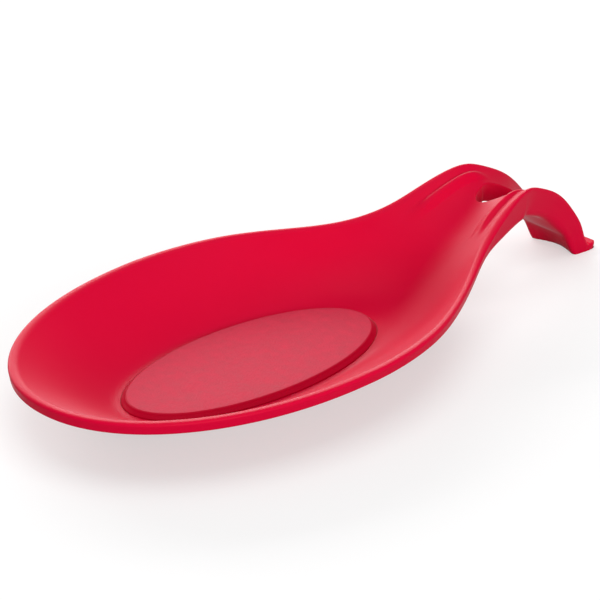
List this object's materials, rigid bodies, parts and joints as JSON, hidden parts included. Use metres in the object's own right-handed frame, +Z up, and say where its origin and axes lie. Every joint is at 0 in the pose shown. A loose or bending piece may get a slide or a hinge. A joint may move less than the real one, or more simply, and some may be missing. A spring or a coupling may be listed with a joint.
{
  "type": "spoon rest",
  "caption": "Egg-shaped silicone dish with a raised oval pad, running on into an arched handle with a hanging hole and a small foot.",
  "frame": {"origin": "middle of the bounding box's underside, on the surface that the dish and its foot stand on", "axes": "+X along the length from the nose of the dish to the foot, +Y across, +Z up"},
  "size_m": [0.2, 0.0936, 0.0295],
  "materials": {
    "silicone_satin": "satin",
    "silicone_matt": "matt, finely mottled"
  },
  "bodies": {
    "root": {"dish": "silicone_satin", "rest_pad": "silicone_matt"}
  },
  "joints": []
}
